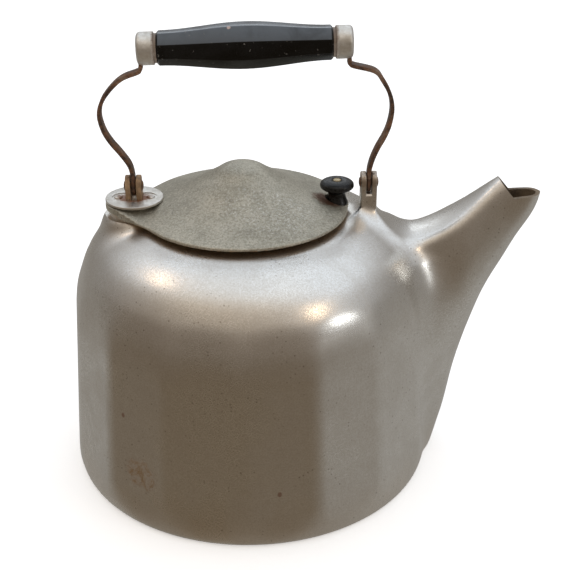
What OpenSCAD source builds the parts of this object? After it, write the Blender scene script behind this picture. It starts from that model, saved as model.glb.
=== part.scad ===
// Cast aluminium stovetop tea kettle with a panelled body, a swivelling lid
// and a swinging bail handle. Millimetres, +X towards the spout, +Z up.
// The origin is the centre of the underside of the base.

/* [Body] */
// Height of the seat that the lid rests on
seat_h = 168.3; // [160:0.1:175]
// Distance from the axis to each flat panel, at the base
panel_r = 115.6; // [113:0.1:117]
// Lean of each panel towards the axis, in degrees
panel_lean = 3.9; // [3:0.1:4.5]
// Radius round the bottom edge
base_round = 6; // [4:0.5:8]
// Thickness of the floor
floor_t = 4; // [3:0.5:5]
// Radius of the fill opening
mouth_r = 49; // [46:0.5:50]
// Width of the raised ring that the lid rests on
seat_w = 3.5; // [3:0.1:3.7]
// Wall thickness of the spout
spout_wall = 2.6; // [2:0.1:3]

/* [Lid] */
// Radius of the lid's disc
lid_r = 63.9; // [62:0.1:64]
// Distance of the lid's centre behind the body's axis
lid_back = 3.2; // [3:0.1:4]
// Thickness of the cast lid
lid_t = 2.5; // [2:0.1:3]
// Distance of the lid's pivot behind the body's axis
pivot_back = 68.8; // [68.5:0.1:69]
// Radius of the round eye at the back of the lid
eye_r = 17.5; // [17:0.1:18]
// Radius of the hub that the eye turns on
hub_r = 13; // [12.8:0.1:13.2]
// Height of the plate's top over the base
plate_top = 176.9; // [176.9:0.1:177.2]
// Radius of the knob's round top
knob_r = 10.3; // [9:0.1:11]
// Height of the knob
knob_h = 15.2; // [14:0.1:17]

/* [Bail handle] */
// Height of the pins that the handle swings on
pin_h = 184.1; // [183.5:0.1:185]
// Radius of those pins
pin_r = 2; // [1.8:0.1:2.2]
// Distance of the front pin before the body's axis
front_pin_x = 73.2; // [73:0.1:74]
// Height of the grip's axis
grip_h = 269; // [266:0.5:272]
// Length of the grip
grip_l = 100.4; // [99:0.1:101]
// Width of the octagonal grip over its flats, at the ends
grip_end_w = 18.6; // [18:0.1:21]
// Width of the octagonal grip over its flats, in the middle
grip_mid_w = 25; // [23:0.1:27]
// Tilt of the grip, higher towards the spout, in degrees
grip_tilt = 1.2; // [0:0.1:1.5]
// Radius of the caps at the grip's ends
ferrule_r = 9.45; // [9:0.05:10.5]
// Width of the flat steel straps
strap_w = 8; // [7:0.5:9]
// Thickness of the flat steel straps
strap_t = 2.3; // [2:0.1:2.6]

/* [Hidden] */
$fn = 96;
eps = 0.01;

cast = [0.68, 0.66, 0.63];
dull_cast = [0.55, 0.55, 0.5];
bright = [0.78, 0.77, 0.75];
black = [0.05, 0.05, 0.05];
rusty = [0.3, 0.17, 0.11];
steel = [0.5, 0.46, 0.4];

panels = 16;
panel_step = 360 / panels;
hub_gap = 0.06;
pin_gap = 0.05;
lift = 0.2;

lid_under = seat_h + lift;
rim_t = 1.9;
plate_t = 1.6;
hub_top = plate_top - plate_t;
eye_top = hub_top - lift;
eye_t = 4.4;
eye_under = eye_top - eye_t;

prong_t = 3.1;
prong_w = 11;
slot_w = 3.4;
prong_top = pin_h + 6.6;
foot_l = 25.6;
foot_t = 1.3;
plate_recess = 0.7;
rivet_r = 1.5;
rivet_x = 9.7;
rivet_deep = 7;

knob_x = 54;
knob_base = seat_h + 2.3;
knob_foot_r = 6.9;
spotface_r = knob_foot_r + 0.4;
screw_r = 1.9;
screw_end = seat_h - 3.4;
washer_t = 0.6;

ferrule_l = 9.6;
ferrule_neck_r = 6.8;
neck_l = 1.9;
rod_r = 2.4;
ferrule_end_x = grip_l / 2 + neck_l + ferrule_l;
// The gap between a ferrule and its strap, and the height that the straps' path is drawn for
strap_gap = 0.25;
drawn_h = 84.9;

// ---- curves ----

// A smooth curve through a list of points, with n steps between each pair
function between(a, b, c, d, t) =
    0.5 * ((2 * b) + (c - a) * t + (2 * a - 5 * b + 4 * c - d) * t * t
           + (3 * b - a - 3 * c + d) * t * t * t);
function smooth(p, n) = let (last = len(p) - 1) concat(
    [for (i = [0 : last - 1]) for (k = [0 : n - 1])
        between(p[max(i - 1, 0)], p[i], p[i + 1], p[min(i + 2, last)], k / n)],
    [p[last]]);

// The two sides of a band of thickness t along a path in the plane
function along(p, i) = let (d = p[min(i + 1, len(p) - 1)] - p[max(i - 1, 0)]) d / norm(d);
function band_side(p, t) = [for (i = [0 : len(p) - 1])
    p[i] + t / 2 * [-along(p, i)[1], along(p, i)[0]]];
function reverse(p) = [for (i = [len(p) - 1 : -1 : 0]) p[i]];
module band(p, t) { polygon(concat(band_side(p, t), reverse(band_side(p, -t)))); }

// A closed skin over rings of points, each ring with the same number of points. Seen from
// the first ring, they run anticlockwise
module skin(rings) {
    n = len(rings[0]);
    m = len(rings);
    polyhedron(
        points = [for (r = rings) each r],
        faces = concat(
            [[for (k = [n - 1 : -1 : 0]) k]],
            [for (j = [0 : m - 2]) for (k = [0 : n - 1])
                [j * n + k, j * n + (k + 1) % n, (j + 1) * n + (k + 1) % n, (j + 1) * n + k]],
            [[for (k = [0 : n - 1]) (m - 1) * n + k]]),
        convexity = 6);
}

// Lays an outline drawn in X and Z, and makes it wide in Y about the middle
module slab_y(w) { rotate([90, 0, 0]) translate([0, 0, -w / 2]) linear_extrude(w) children(); }
module rod_x(r, l) { rotate([0, 90, 0]) translate([0, 0, -l / 2]) cylinder(r = r, h = l); }

// ---- body ----

// The round shoulder, from the top of the panels to under the seat ring
shoulder = smooth([[113, 106], [109.2, 118], [105.4, 130], [100.4, 141], [92.4, 150.5], [82, 156.3],
                   [70, 160], [60, 161.6], [40, 162.4]], 3);
shoulder_inside = smooth([[103.4, 112], [101.6, 121], [97.5, 133], [90.5, 143.4], [81, 150.4],
                          [70, 154.9], [60, 157.2], [mouth_r - 1, 158]], 3);

// The spout's stations: crown x and z, keel x and z, half width
spout_stations = smooth([
    [72, 153, 104, 4, 30], [84, 155, 120.5, 1.5, 30], [94, 153, 126, 22, 30], [104, 153.4, 131, 47, 28],
    [112, 156, 137, 70, 25.5], [119, 160, 143.4, 91.5, 22.5], [127, 165.2, 151, 112.6, 19],
    [135, 171, 159.4, 129.4, 16], [143, 178, 167, 146, 13.4], [151, 184.6, 172.4, 156, 11.6],
    [160, 191, 177, 168, 9.6], [166, 196, 178.6, 178, 8.6]], 2);
// Where the hooded top of the spout meets the level lip
notch = [161, 173.4];

function spout_ring(s, wall, n = 20) = let (
        top = [s[0], s[1]], keel = [s[2], s[3]],
        down = (keel - top) / norm(keel - top),
        a = top + wall * down, b = keel - wall * down, w = s[4] - wall)
    [for (k = [0 : n - 1]) let (t = k * 360 / n, m = (1 - cos(t)) / 2, p = a + (b - a) * m)
        [p[0], w * sign(sin(t)) * pow(abs(sin(t)), 0.8) * (1.1 - 0.25 * m), p[1]]];

module panelled_shell() {
    big = 400;
    difference() {
        rotate_extrude($fn = 192) polygon(concat(
            [[0, 0], [114.6 - base_round, 0]],
            [for (t = [-75 : 15 : 0]) [114.6 - base_round, base_round] + base_round * [cos(t), sin(t)]],
            [[116, 10.5], [117, 20], [118.4, 34], [118.4, 90]],
            shoulder,
            [[0, 162.4]]));
        for (i = [0 : panels - 1])
            rotate([0, 0, (i + 0.5) * panel_step]) translate([panel_r, 0, 0])
                rotate([0, -panel_lean, 0]) translate([0, -big / 2, -big / 2]) cube(big);
    }
}

module spout_skin(wall) { skin([for (s = spout_stations) spout_ring(s, wall)]); }

module spout_mouth_cut() {
    slab_y(60) polygon([notch, notch + [40, 2.8], notch + [40, 60], notch + [-46, 57]]);
}

// Clevis prongs on both sides of a slot, with the pin's bore along X
module clevis(foot_z) {
    for (side = [-1, 1]) translate([side * (slot_w + prong_t) / 2, 0, 0]) {
        translate([-prong_t / 2, -prong_w / 2, foot_z])
            cube([prong_t, prong_w, prong_top - prong_w / 2 - foot_z]);
        translate([0, 0, prong_top - prong_w / 2]) rod_x(prong_w / 2, prong_t);
    }
}

module front_lug() {
    slot_floor = pin_h - 11.8;
    translate([front_pin_x, 0, 0]) {
        clevis(slot_floor - 8);
        hull() {
            translate([-slot_w / 2 - prong_t, -prong_w / 2, slot_floor - 3])
                cube([slot_w + 2 * prong_t, prong_w, 3]);
            translate([6, 0, 152]) scale([1, 1, 0.2]) sphere(r = 20, $fn = 32);
        }
    }
}

module seat_ring() {
    translate([-lid_back, 0, 150]) cylinder(r = mouth_r + seat_w, h = seat_h - 150);
}

module rear_boss() {
    boss_r = eye_r - 0.3;
    flare_top = 165;
    translate([-pivot_back, 0, 0]) {
        hull() {
            translate([0, 0, flare_top - 1]) cylinder(r = boss_r, h = 1, $fn = 48);
            translate([4, 0, 145]) cylinder(r = 29.5, h = 1, $fn = 48);
        }
        translate([0, 0, flare_top - 2]) cylinder(r = boss_r, h = eye_under - lift - flare_top + 2);
        translate([0, 0, flare_top - 2]) cylinder(r = hub_r, h = hub_top - flare_top + 2);
    }
}

module ear_foot(grow) {
    hull() for (side = [-1, 1]) translate([side * (foot_l - prong_w) / 2, 0, 0])
        circle(d = prong_w + 2 * grow);
}

module body() {
    color(cast) difference() {
        union() {
            panelled_shell();
            spout_skin(0);
            front_lug();
            seat_ring();
            rear_boss();
        }
        // the hollow inside
        rotate_extrude($fn = 192) polygon(concat(
            [[0, floor_t], [104, floor_t], [108.4, floor_t + 2], [110.2, floor_t + 7]],
            shoulder_inside, [[0, 158]]));
        intersection() {
            spout_skin(spout_wall);
            translate([60, -50, 8]) cube([200, 100, 250]);
        }
        spout_mouth_cut();
        // the fill opening, concentric with the lid
        translate([-lid_back, 0, 150]) cylinder(r = mouth_r, h = 100);
        // room for the lid's rim as it swings past the lug
        translate([-pivot_back, 0, seat_h - 1.5]) difference() {
            cylinder(r = pivot_back - lid_back + lid_r + 0.8, h = 60, $fn = 192);
            translate([0, 0, -eps]) cylinder(r = 110, h = 61);
        }
        // the front pin's bore
        translate([front_pin_x, 0, pin_h]) rod_x(pin_r + pin_gap / 2, 30);
        // the pocket for the rear ear's foot, and its two rivet holes
        translate([-pivot_back, 0, 0]) {
            translate([0, 0, hub_top - foot_t]) linear_extrude(foot_t + eps) ear_foot(0.1);
            for (side = [-1, 1]) translate([side * rivet_x, 0, hub_top - foot_t - rivet_deep])
                cylinder(r = rivet_r + pin_gap / 2, h = 20, $fn = 32);
        }
    }
}

// ---- the lid's pivot and the rear ear ----

module rear_ear() {
    color(steel) translate([-pivot_back, 0, 0]) difference() {
        union() {
            translate([0, 0, hub_top - foot_t]) linear_extrude(foot_t) ear_foot(0);
            clevis(hub_top - foot_t / 2);
        }
        translate([0, 0, pin_h]) rod_x(pin_r + pin_gap / 2, 30);
        for (side = [-1, 1]) translate([side * rivet_x, 0, hub_top - 5])
            cylinder(r = rivet_r + pin_gap / 2, h = 10, $fn = 32);
    }
}

module retaining_plate() {
    window = [slot_w + 2 * prong_t + 0.4, prong_w + 0.4];
    color(bright) translate([-pivot_back, 0, hub_top]) difference() {
        cylinder(r = eye_r, h = plate_t);
        translate([0, 0, plate_t - plate_recess]) linear_extrude(plate_t) ear_foot(0.8);
        translate([-window[0] / 2, -window[1] / 2, -1]) cube([window[0], window[1], 5]);
        for (side = [-1, 1]) translate([side * rivet_x, 0, -1])
            cylinder(r = rivet_r + pin_gap / 2, h = 5, $fn = 32);
    }
}

module plate_rivets() {
    head_r = 2.6;
    head_h = 1.4;
    seat = hub_top + plate_t - plate_recess;
    shank = hub_top - foot_t - rivet_deep + 0.2;
    color(bright) for (side = [-1, 1]) translate([side * rivet_x - pivot_back, 0, 0])
        rotate_extrude($fn = 48) polygon(concat(
            [[0, shank], [rivet_r, shank], [rivet_r, seat]],
            [for (t = [0 : 15 : 90]) [head_r * cos(t), seat + head_h * sin(t)]]));
}

// ---- lid ----

lid_crown = smooth([[0, 197.8], [6, 197.3], [12, 195.2], [18, 191.4], [26, 186.7], [34, 182],
                    [44, 177.3], [54, 173.6], [lid_r, lid_under + rim_t]], 2);
lid_hollow = smooth([[0, 195], [8, 193.4], [16, 188.9], [24, 183.9], [32, 179.2], [40, 175.2],
                     [45.5, lid_under]], 2);

module lid() {
    color(dull_cast) difference() {
        union() {
            translate([-lid_back, 0, 0]) rotate_extrude($fn = 192)
                polygon(concat([[0, lid_under]], [[lid_r, lid_under]], reverse(lid_crown)));
            translate([-pivot_back, 0, eye_under]) cylinder(r = eye_r, h = eye_t);
            // the neck that slopes from the eye down into the disc
            hull() {
                translate([-pivot_back + 4, 0, eye_under + 1]) cylinder(r = eye_r - 2, h = eye_t - 1);
                translate([-pivot_back + 24, -26, lid_under]) cube([4, 52, rim_t + 1.6]);
            }
            translate([knob_x, 0, lid_under]) cylinder(r = spotface_r, h = knob_base - lid_under);
        }
        translate([-lid_back, 0, 0]) rotate_extrude($fn = 192)
            polygon(concat([[0, lid_under - 1]], [[45.5, lid_under - 1]], reverse(lid_hollow)));
        translate([-pivot_back, 0, lid_under - 10]) {
            cylinder(r = hub_r + hub_gap, h = 60);
            cylinder(r = eye_r + 0.6, h = eye_under - lid_under + 10);
        }
        translate([-pivot_back, 0, eye_top]) cylinder(r = eye_r + 0.4, h = 20);
        translate([knob_x, 0, knob_base]) cylinder(r = spotface_r, h = 20);
        translate([knob_x, 0, 100]) cylinder(r = screw_r + pin_gap, h = 100, $fn = 48);
    }
}

module knob() {
    waist_r = 5.4;
    color(black) translate([knob_x, 0, knob_base]) difference() {
        rotate_extrude() polygon(concat(
            [[0, 0], [knob_foot_r, 0]],
            smooth([[knob_foot_r, 1], [6, 3.2], [waist_r, 6], [5.9, 8.2], [8.4, 9.8], [knob_r, 11.8],
                    [knob_r - 0.3, 13.6], [8.2, 15.1], [4.6, knob_h]], 3),
            [[0, knob_h]]));
        translate([0, 0, -1]) cylinder(r = screw_r + pin_gap, h = 40, $fn = 48);
        translate([0, 0, knob_h - 1.6]) cylinder(r = 3.5, h = 5, $fn = 48);
    }
}

module knob_screw() {
    head_r = 3.3;
    head_t = 1.8;
    seat = knob_base + knob_h - 1.6;
    color(steel) translate([knob_x, 0, 0]) difference() {
        union() {
            translate([0, 0, screw_end]) cylinder(r = screw_r, h = seat - screw_end + 0.2, $fn = 48);
            translate([0, 0, seat]) cylinder(r = head_r, h = head_t, $fn = 48);
        }
        translate([-5, -0.4, seat + head_t - 0.8]) cube([10, 0.8, 2]);
    }
}

module knob_washer() {
    color(steel) translate([knob_x, 0, lid_under - washer_t]) difference() {
        cylinder(r = 3.6, h = washer_t, $fn = 48);
        translate([0, 0, -1]) cylinder(r = screw_r + pin_gap, h = 3, $fn = 48);
    }
}

module knob_nut() {
    nut_h = 2.2;
    color(steel) translate([knob_x, 0, lid_under - washer_t - nut_h]) difference() {
        cylinder(r = 3.5, h = nut_h, $fn = 6);
        translate([0, 0, -1]) cylinder(r = screw_r + pin_gap / 2, h = 5, $fn = 48);
    }
}

// ---- bail handle ----

// One strap, drawn as x away from its pin and height over the pins
module strap(pin_x, side, bulge) {
    top = grip_h - pin_h + side * ferrule_end_x * sin(grip_tilt);
    end_x = ferrule_end_x + strap_gap + strap_t / 2 - side * pin_x;
    drawn = smooth([[0, 0], [0, 7], [1.5, 14], [0.36 * bulge, 21.5], [0.68 * bulge, 29],
                   [0.9 * bulge, 36.5], [bulge, 46], [0.86 * bulge, 54.5], [0.5 * bulge, 62.6],
                   [0.1 * bulge, 68.2], [end_x + 1.5, 71.8], [end_x + 0.35, 74.4], [end_x, 77.4],
                   [end_x, 80.5], [end_x, drawn_h]], 4);
    path = [for (p = drawn) [p[0], p[1] * top / drawn_h]];
    color(rusty) translate([pin_x, 0, pin_h]) difference() {
        union() {
            mirror([side < 0 ? 1 : 0, 0, 0]) slab_y(strap_w) band(path, strap_t);
            rod_x(strap_w / 2, strap_t);
            translate([side * end_x, 0, top]) rod_x(strap_w / 2, strap_t);
        }
        rod_x(pin_r + pin_gap, 10);
        translate([side * end_x, 0, top]) rod_x(rod_r + 2 * pin_gap, 10);
    }
}

module bail_strap_rear() { strap(-pivot_back, -1, 17); }
module bail_strap_front() { strap(front_pin_x, 1, 12.4); }

module on_grip() { translate([0, 0, grip_h]) rotate([0, -grip_tilt, 0]) children(); }

module ferrule(side) {
    round_r = 2.2;
    color(bright) on_grip() difference() {
        rotate([0, side * 90, 0]) rotate_extrude() polygon(concat(
            [[0, grip_l / 2 - 6], [ferrule_neck_r, grip_l / 2 - 6],
             [ferrule_neck_r, grip_l / 2 + neck_l], [ferrule_r - 0.5, grip_l / 2 + neck_l],
             [ferrule_r, grip_l / 2 + neck_l + 0.5]],
            [for (t = [0 : 15 : 90]) [ferrule_r - round_r, ferrule_end_x - round_r]
                + round_r * [cos(t), sin(t)]],
            [[0, ferrule_end_x]]));
        rod_x(rod_r + pin_gap / 2, 200);
    }
}
module ferrule_rear() { ferrule(-1); }
module ferrule_front() { ferrule(1); }

module grip() {
    chamfer = 1.2;
    half = grip_l / 2;
    belly = grip_mid_w - grip_end_w;
    // an eight-sided ring at x, w wide over its flats
    function ring(x, w) = [for (k = [0 : 7]) let (a = -22.5 - k * 45)
        [x, w / 2 / cos(22.5) * cos(a), w / 2 / cos(22.5) * sin(a)]];
    color(black) on_grip() difference() {
        skin(concat([ring(-half, grip_end_w - 2 * chamfer)],
            [for (u = [-1 : 0.125 : 1])
                ring(u * (half - chamfer), grip_end_w + belly * pow(cos(90 * u), 2))],
            [ring(half, grip_end_w - 2 * chamfer)]));
        rod_x(rod_r + 0.2, 200);
        for (side = [-1, 1]) translate([side * half, 0, 0]) rod_x(ferrule_neck_r + pin_gap, 12.4);
    }
}

module grip_rod() {
    head_r = 3.2;
    head_h = 1;
    end_x = ferrule_end_x + 2 * strap_gap + strap_t;
    color(steel) on_grip() {
        rod_x(rod_r, 2 * end_x + 0.4);
        for (side = [-1, 1]) rotate([0, side * 90, 0]) translate([0, 0, end_x])
            rotate_extrude($fn = 48) polygon(concat([[0, 0]],
                [for (t = [0 : 15 : 90]) [head_r * cos(t), head_h * sin(t)]]));
    }
}

module bail_pin(pin_x) {
    head_r = 3.2;
    head_h = 1.2;
    half = slot_w / 2 + prong_t;
    color(rusty) translate([pin_x, 0, pin_h]) {
        rod_x(pin_r, 2 * half + 0.4);
        for (side = [-1, 1]) rotate([0, side * 90, 0]) translate([0, 0, half])
            rotate_extrude($fn = 48) polygon(concat([[0, 0]],
                [for (t = [0 : 15 : 90]) [head_r * cos(t), head_h * sin(t)]]));
    }
}
module bail_pin_rear() { bail_pin(-pivot_back); }
module bail_pin_front() { bail_pin(front_pin_x); }

body();
rear_ear();
retaining_plate();
plate_rivets();
lid();
knob();
knob_screw();
knob_washer();
knob_nut();
bail_strap_rear();
bail_strap_front();
ferrule_rear();
ferrule_front();
grip();
grip_rod();
bail_pin_rear();
bail_pin_front();
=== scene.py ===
"""A worn cast aluminium stovetop kettle: panelled body, swivelling lid, swinging bail handle.
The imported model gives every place; this script gives each piece its finished shape and finish."""
import math

import bmesh
import bpy
import numpy as np
from mathutils import Matrix, Vector


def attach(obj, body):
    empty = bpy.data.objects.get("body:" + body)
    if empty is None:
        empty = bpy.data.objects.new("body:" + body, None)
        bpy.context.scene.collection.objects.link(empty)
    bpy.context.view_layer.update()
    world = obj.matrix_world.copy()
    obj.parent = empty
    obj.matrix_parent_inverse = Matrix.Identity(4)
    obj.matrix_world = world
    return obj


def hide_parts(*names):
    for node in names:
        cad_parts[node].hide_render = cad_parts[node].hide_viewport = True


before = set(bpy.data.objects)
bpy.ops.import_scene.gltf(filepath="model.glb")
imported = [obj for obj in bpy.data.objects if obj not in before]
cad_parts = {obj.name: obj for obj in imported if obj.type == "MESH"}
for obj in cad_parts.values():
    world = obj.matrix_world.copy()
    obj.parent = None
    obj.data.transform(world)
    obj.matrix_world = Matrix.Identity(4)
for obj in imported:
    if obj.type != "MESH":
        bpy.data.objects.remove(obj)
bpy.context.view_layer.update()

# ---- The body ----
# One heavy aluminium casting: sixteen flat panels, a round shoulder, a ring for the lid, a boss
# for the lid's pivot, a lug for the handle and the spout, all flowing into each other. It is
# cast in a sand mould round a core, so the shape is built as an outer solid less its core.
MM = 0.001
PANEL_STEP = math.tau / 16
PANEL_TURN = math.radians(3.0)
PANEL_RADIUS = 116.2
PANEL_LEAN = math.radians(3.9)
SEAT_HEIGHT = 168.3
MOUTH_RADIUS = 48.7
RING_WIDTH = 3.6
FLOOR = 4.0
SPOUT_WALL = 2.6
PIVOT_X = -68.8
LID_X = -3.2
LUG_X = 73.2
PIN_HEIGHT = 184.1
RIM_SWING = 130.4
BOSS_RADIUS = 15.3
HUB_RADIUS = 13.0
EYE_UNDER = 170.5
HUB_TOP = 175.3
PRONG_SIDE = 3.25
PRONG_THICK = 3.1
PRONG_WIDTH = 11.0
PRONG_TOP = PIN_HEIGHT + 6.6
SLOT_FLOOR = 177.9


def join_high(a, b, blend):
    """The larger of two fields, with a round of size blend where they cross."""
    h = np.maximum(blend - np.abs(a - b), 0.0) / blend
    return np.maximum(a, b) + h * h * blend / 4


def join_low(a, b, blend):
    """The smaller of two fields, with a round where they cross."""
    return -join_high(-a, -b, blend)


def curve_through(points, steps):
    """A smooth line through a short list of points."""
    p = np.asarray(points, float)
    line = []
    for i in range(len(p) - 1):
        a, b, c, d = p[max(i - 1, 0)], p[i], p[i + 1], p[min(i + 2, len(p) - 1)]
        for t in np.arange(steps) / steps:
            line.append(0.5 * (2 * b + (c - a) * t + (2 * a - 5 * b + 4 * c - d) * t * t
                               + (3 * b - a - 3 * c + d) * t ** 3))
    line.append(p[-1])
    return np.array(line)


def natural_spline(knots, values):
    """The smoothest line through values at rising knots, as a function."""
    x, y = np.asarray(knots, float), np.asarray(values, float)
    n, h = len(x), np.diff(x)
    rows, right = np.eye(n), np.zeros(n)
    for i in range(1, n - 1):
        rows[i, i - 1:i + 2] = h[i - 1], 2 * (h[i - 1] + h[i]), h[i]
        right[i] = 6 * ((y[i + 1] - y[i]) / h[i] - (y[i] - y[i - 1]) / h[i - 1])
    m = np.linalg.solve(rows, right)

    def value(t):
        t = np.clip(t, x[0], x[-1])
        i = np.clip(np.searchsorted(x, t) - 1, 0, n - 2)
        a, c = x[i + 1] - t, t - x[i]
        cubic = (m[i] * a ** 3 + m[i + 1] * c ** 3) / (6 * h[i])
        below = (y[i] / h[i] - m[i] * h[i] / 6) * a
        above = (y[i + 1] / h[i] - m[i + 1] * h[i] / 6) * c
        return cubic + below + above
    return value


def turned_field(outline):
    """Distance to the solid that an outline in radius and height makes when it is turned."""
    cell, widest, lowest, highest = 0.5, 190, -10, 210
    start = np.asarray(outline, float)
    stop = np.roll(start, -1, 0)
    radius, height = np.meshgrid(np.arange(0, widest, cell), np.arange(lowest, highest, cell),
                                 indexing="ij")
    far = np.full(radius.shape, 1e9)
    within = np.zeros(radius.shape, bool)
    for (ax, az), (bx, bz) in zip(start, stop):
        ex, ez = bx - ax, bz - az
        length = max(ex * ex + ez * ez, 1e-9)
        t = np.clip(((radius - ax) * ex + (height - az) * ez) / length, 0, 1)
        far = np.minimum(far, np.hypot(radius - ax - t * ex, height - az - t * ez))
        crosses = (az > height) != (bz > height)
        rise = ez if abs(ez) > 1e-9 else 1e-9
        within ^= crosses & (radius < ax + (height - az) / rise * ex)
    table = np.where(within, -far, far)

    def value(r, z):
        u = np.clip(r / cell, 0, table.shape[0] - 1.001)
        v = np.clip((z - lowest) / cell, 0, table.shape[1] - 1.001)
        i, j = u.astype(int), v.astype(int)
        a, b = u - i, v - j
        low = table[i, j] * (1 - a) + table[i + 1, j] * a
        high = table[i, j + 1] * (1 - a) + table[i + 1, j + 1] * a
        return low * (1 - b) + high * b
    return value


SHOULDER = [[126, 70], [119.5, 97], [112.2, 117], [105.6, 130], [99.6, 141], [91.6, 151],
            [81.5, 158.2], [71, 163], [62, 165.4], [40, 166]]
shoulder_field = turned_field([[0, -20], [126, -20], *curve_through(SHOULDER, 6), [0, 166]])
foot_field = turned_field([[0, -10], [112, -10], [113.0, 0], [114.4, 2], [115.2, 5.5], [116.0, 10],
                           [116.7, 17], [117.6, 28], [124, 60], [124, 190], [0, 190]])
CORE = [[108.5, 10.5], [107.5, 30], [105.6, 60], [103.8, 95], [101.2, 121], [97.2, 132],
        [90, 143], [81, 150.4], [70, 154.9], [60, 157.2], [40, 158.5]]
core_field = turned_field([[0, FLOOR], [102, FLOOR], [106.6, 5.9], *curve_through(CORE, 6), [0, 158.5]])

# The spout is drawn as stations that fan out round a pole high above the body: where its crown
# and its keel stand, and how wide it is at the crown, at the widest and at the keel.
POLE = (50.0, 328.0)
CROWN = [(78, 155.5), (84, 154.6), (94, 152.8), (104, 153.4), (112, 156.2), (119, 159.8), (127, 164.9),
         (135, 170.9), (143, 177.7), (151, 184.4), (160, 191.2), (166, 195.5)]
KEEL = [(114.5, -18), (120.5, 2), (126.4, 22), (130.6, 45), (135.8, 68), (142.7, 90.5), (151, 112.6),
        (159.2, 129.4), (167.3, 146), (172.8, 155.6), (178.2, 168), (180, 178)]
FAN = np.radians([5, 11, 16, 20, 24, 28, 32, 36, 40, 43])
crown_width = natural_spline(FAN, [19, 18.5, 18, 17.2, 16, 13, 9.6, 6.4, 4.5, 4])
side_width = natural_spline(FAN, [34, 33, 30, 26, 22, 18, 14.6, 12, 10.2, 9])
keel_width = natural_spline(FAN, [14, 13, 12, 10.5, 9, 7.5, 6.2, 5, 4, 3.5])


def from_pole(x, z):
    """The angle at the pole, and the distance from it."""
    return np.arctan2(x - POLE[0], POLE[1] - z), np.hypot(x - POLE[0], POLE[1] - z)


def line_from_pole(points):
    """A line's distance from the pole, by its angle there."""
    angle, reach = from_pole(*np.array(points, float).T)
    order = np.argsort(angle)
    return natural_spline(angle[order], reach[order])


crown_reach, keel_reach = line_from_pole(CROWN), line_from_pole(KEEL)


def spout_section(p):
    """A six-sided section with round corners: a flat hood, two cheeks and a narrow keel."""
    angle, reach = from_pole(p[:, 0], p[:, 2])
    y = np.abs(p[:, 1])
    crown = crown_reach(angle)
    deep = keel_reach(angle) - crown
    q = reach - crown
    top_w, side_w, keel_w = crown_width(angle), side_width(angle), keel_width(angle)
    drop = 1.2 + 0.05 * top_w
    hood = drop * (y / top_w) ** 2 - q
    widest = 0.52 * deep
    slope = np.hypot(widest - drop, side_w - top_w)
    cheek = ((y - top_w) * (widest - drop) - (q - drop) * (side_w - top_w)) / slope
    slope = np.hypot(deep - widest, side_w - keel_w)
    under = ((y - side_w) * (deep - widest) + (q - widest) * (side_w - keel_w)) / slope
    field = join_high(hood, cheek, 4.5)
    field = join_high(field, under, np.clip(0.35 * deep, 4, 14) * 0.9)
    return join_high(field, q - deep, np.clip(keel_w * 2.2, 6, 20))


def spout_field(p):
    """The section's field brought to true distances, and closed off behind the spout's root."""
    here = spout_section(p)
    step = 0.05
    slope = [(spout_section(p + step * axis) - here) / step for axis in np.eye(3)]
    steep = np.sqrt(sum(s * s for s in slope))
    spout = join_high(here / np.clip(steep, 0.5, 6), 70 - p[:, 0], 10)
    return join_high(spout, np.maximum(p[:, 2] - 206, p[:, 0] - 190), 1)


def outer_field(p):
    """The whole casting as if it were solid."""
    x, y, z = p.T
    r, turn = np.hypot(x, y), np.arctan2(y, x)
    off = np.mod(turn + PANEL_TURN, PANEL_STEP) - PANEL_STEP / 2
    flat = PANEL_RADIUS - z * math.tan(PANEL_LEAN)
    panel = (r * np.cos(off) - flat) * math.cos(PANEL_LEAN)
    beside = (r * np.cos(PANEL_STEP - np.abs(off)) - flat) * math.cos(PANEL_LEAN)
    field = join_high(join_high(panel, beside, 2.0), shoulder_field(r, z), 7)
    # the panels run out into a round foot
    field = join_high(field, foot_field(r, z), 1.5)
    field = join_low(field, spout_field(p), np.interp(z, [20, 90, 140, 158, 172], [12, 26, 20, 9, 6]))
    field = join_high(field, -z, 2)
    # the ring under the lid, left tall here and faced off flat later
    from_lid = np.hypot(x - LID_X, y)
    ring = join_high(join_high(from_lid - MOUTH_RADIUS - RING_WIDTH, z - 174, 1), 150 - z, 1)
    field = join_low(field, ring, 6)
    from_pivot = np.hypot(x - PIVOT_X, y)
    flare = from_pivot - np.interp(z, [140, 150, 158, 165, 169, 173], [27, 25, 22.3, 19.6, 17.2, 17])
    flare = join_high(join_high(flare * 0.9, z - 168.1, 1.5), 138 - z, 1)
    field = join_low(field, flare, np.interp(z, [146, 165], [10, 4]))
    lug = join_high(np.abs(x - LUG_X) - 4.8, np.abs(y) - 5.5, 2.5)
    lug = join_high(join_high(lug, z - 178.5, 1), 135 - z, 1)
    return join_low(field, lug, np.interp(z, [152, 172, 180], [20, 9, 4]))


def core_solid_field(p):
    """The sand core: the hollow in the body, the channel in the spout and the lid's mouth."""
    x, y, z = p.T
    field = core_field(np.hypot(x, y), z)
    channel = join_high(spout_field(p) + SPOUT_WALL, 8 - z, 4)
    field = join_low(field, channel, 6)
    mouth = join_high(join_high(np.hypot(x - LID_X, y) - MOUTH_RADIUS, 150 - z, 1), z - 180, 1)
    return join_low(field, mouth, 2)


def snapped(field, p, rounds):
    """Points moved onto the field's surface."""
    reach, step = 0.8, 0.02
    for _ in range(rounds):
        here = field(p)
        slope = np.stack([(field(p + step * axis) - here) / step for axis in np.eye(3)], 1)
        move = -(here / np.maximum((slope * slope).sum(1), 0.05))[:, None] * slope
        far = np.linalg.norm(move, axis=1, keepdims=True)
        p = p + move * np.minimum(1, reach / np.maximum(far, 1e-9))
    return p


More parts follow.
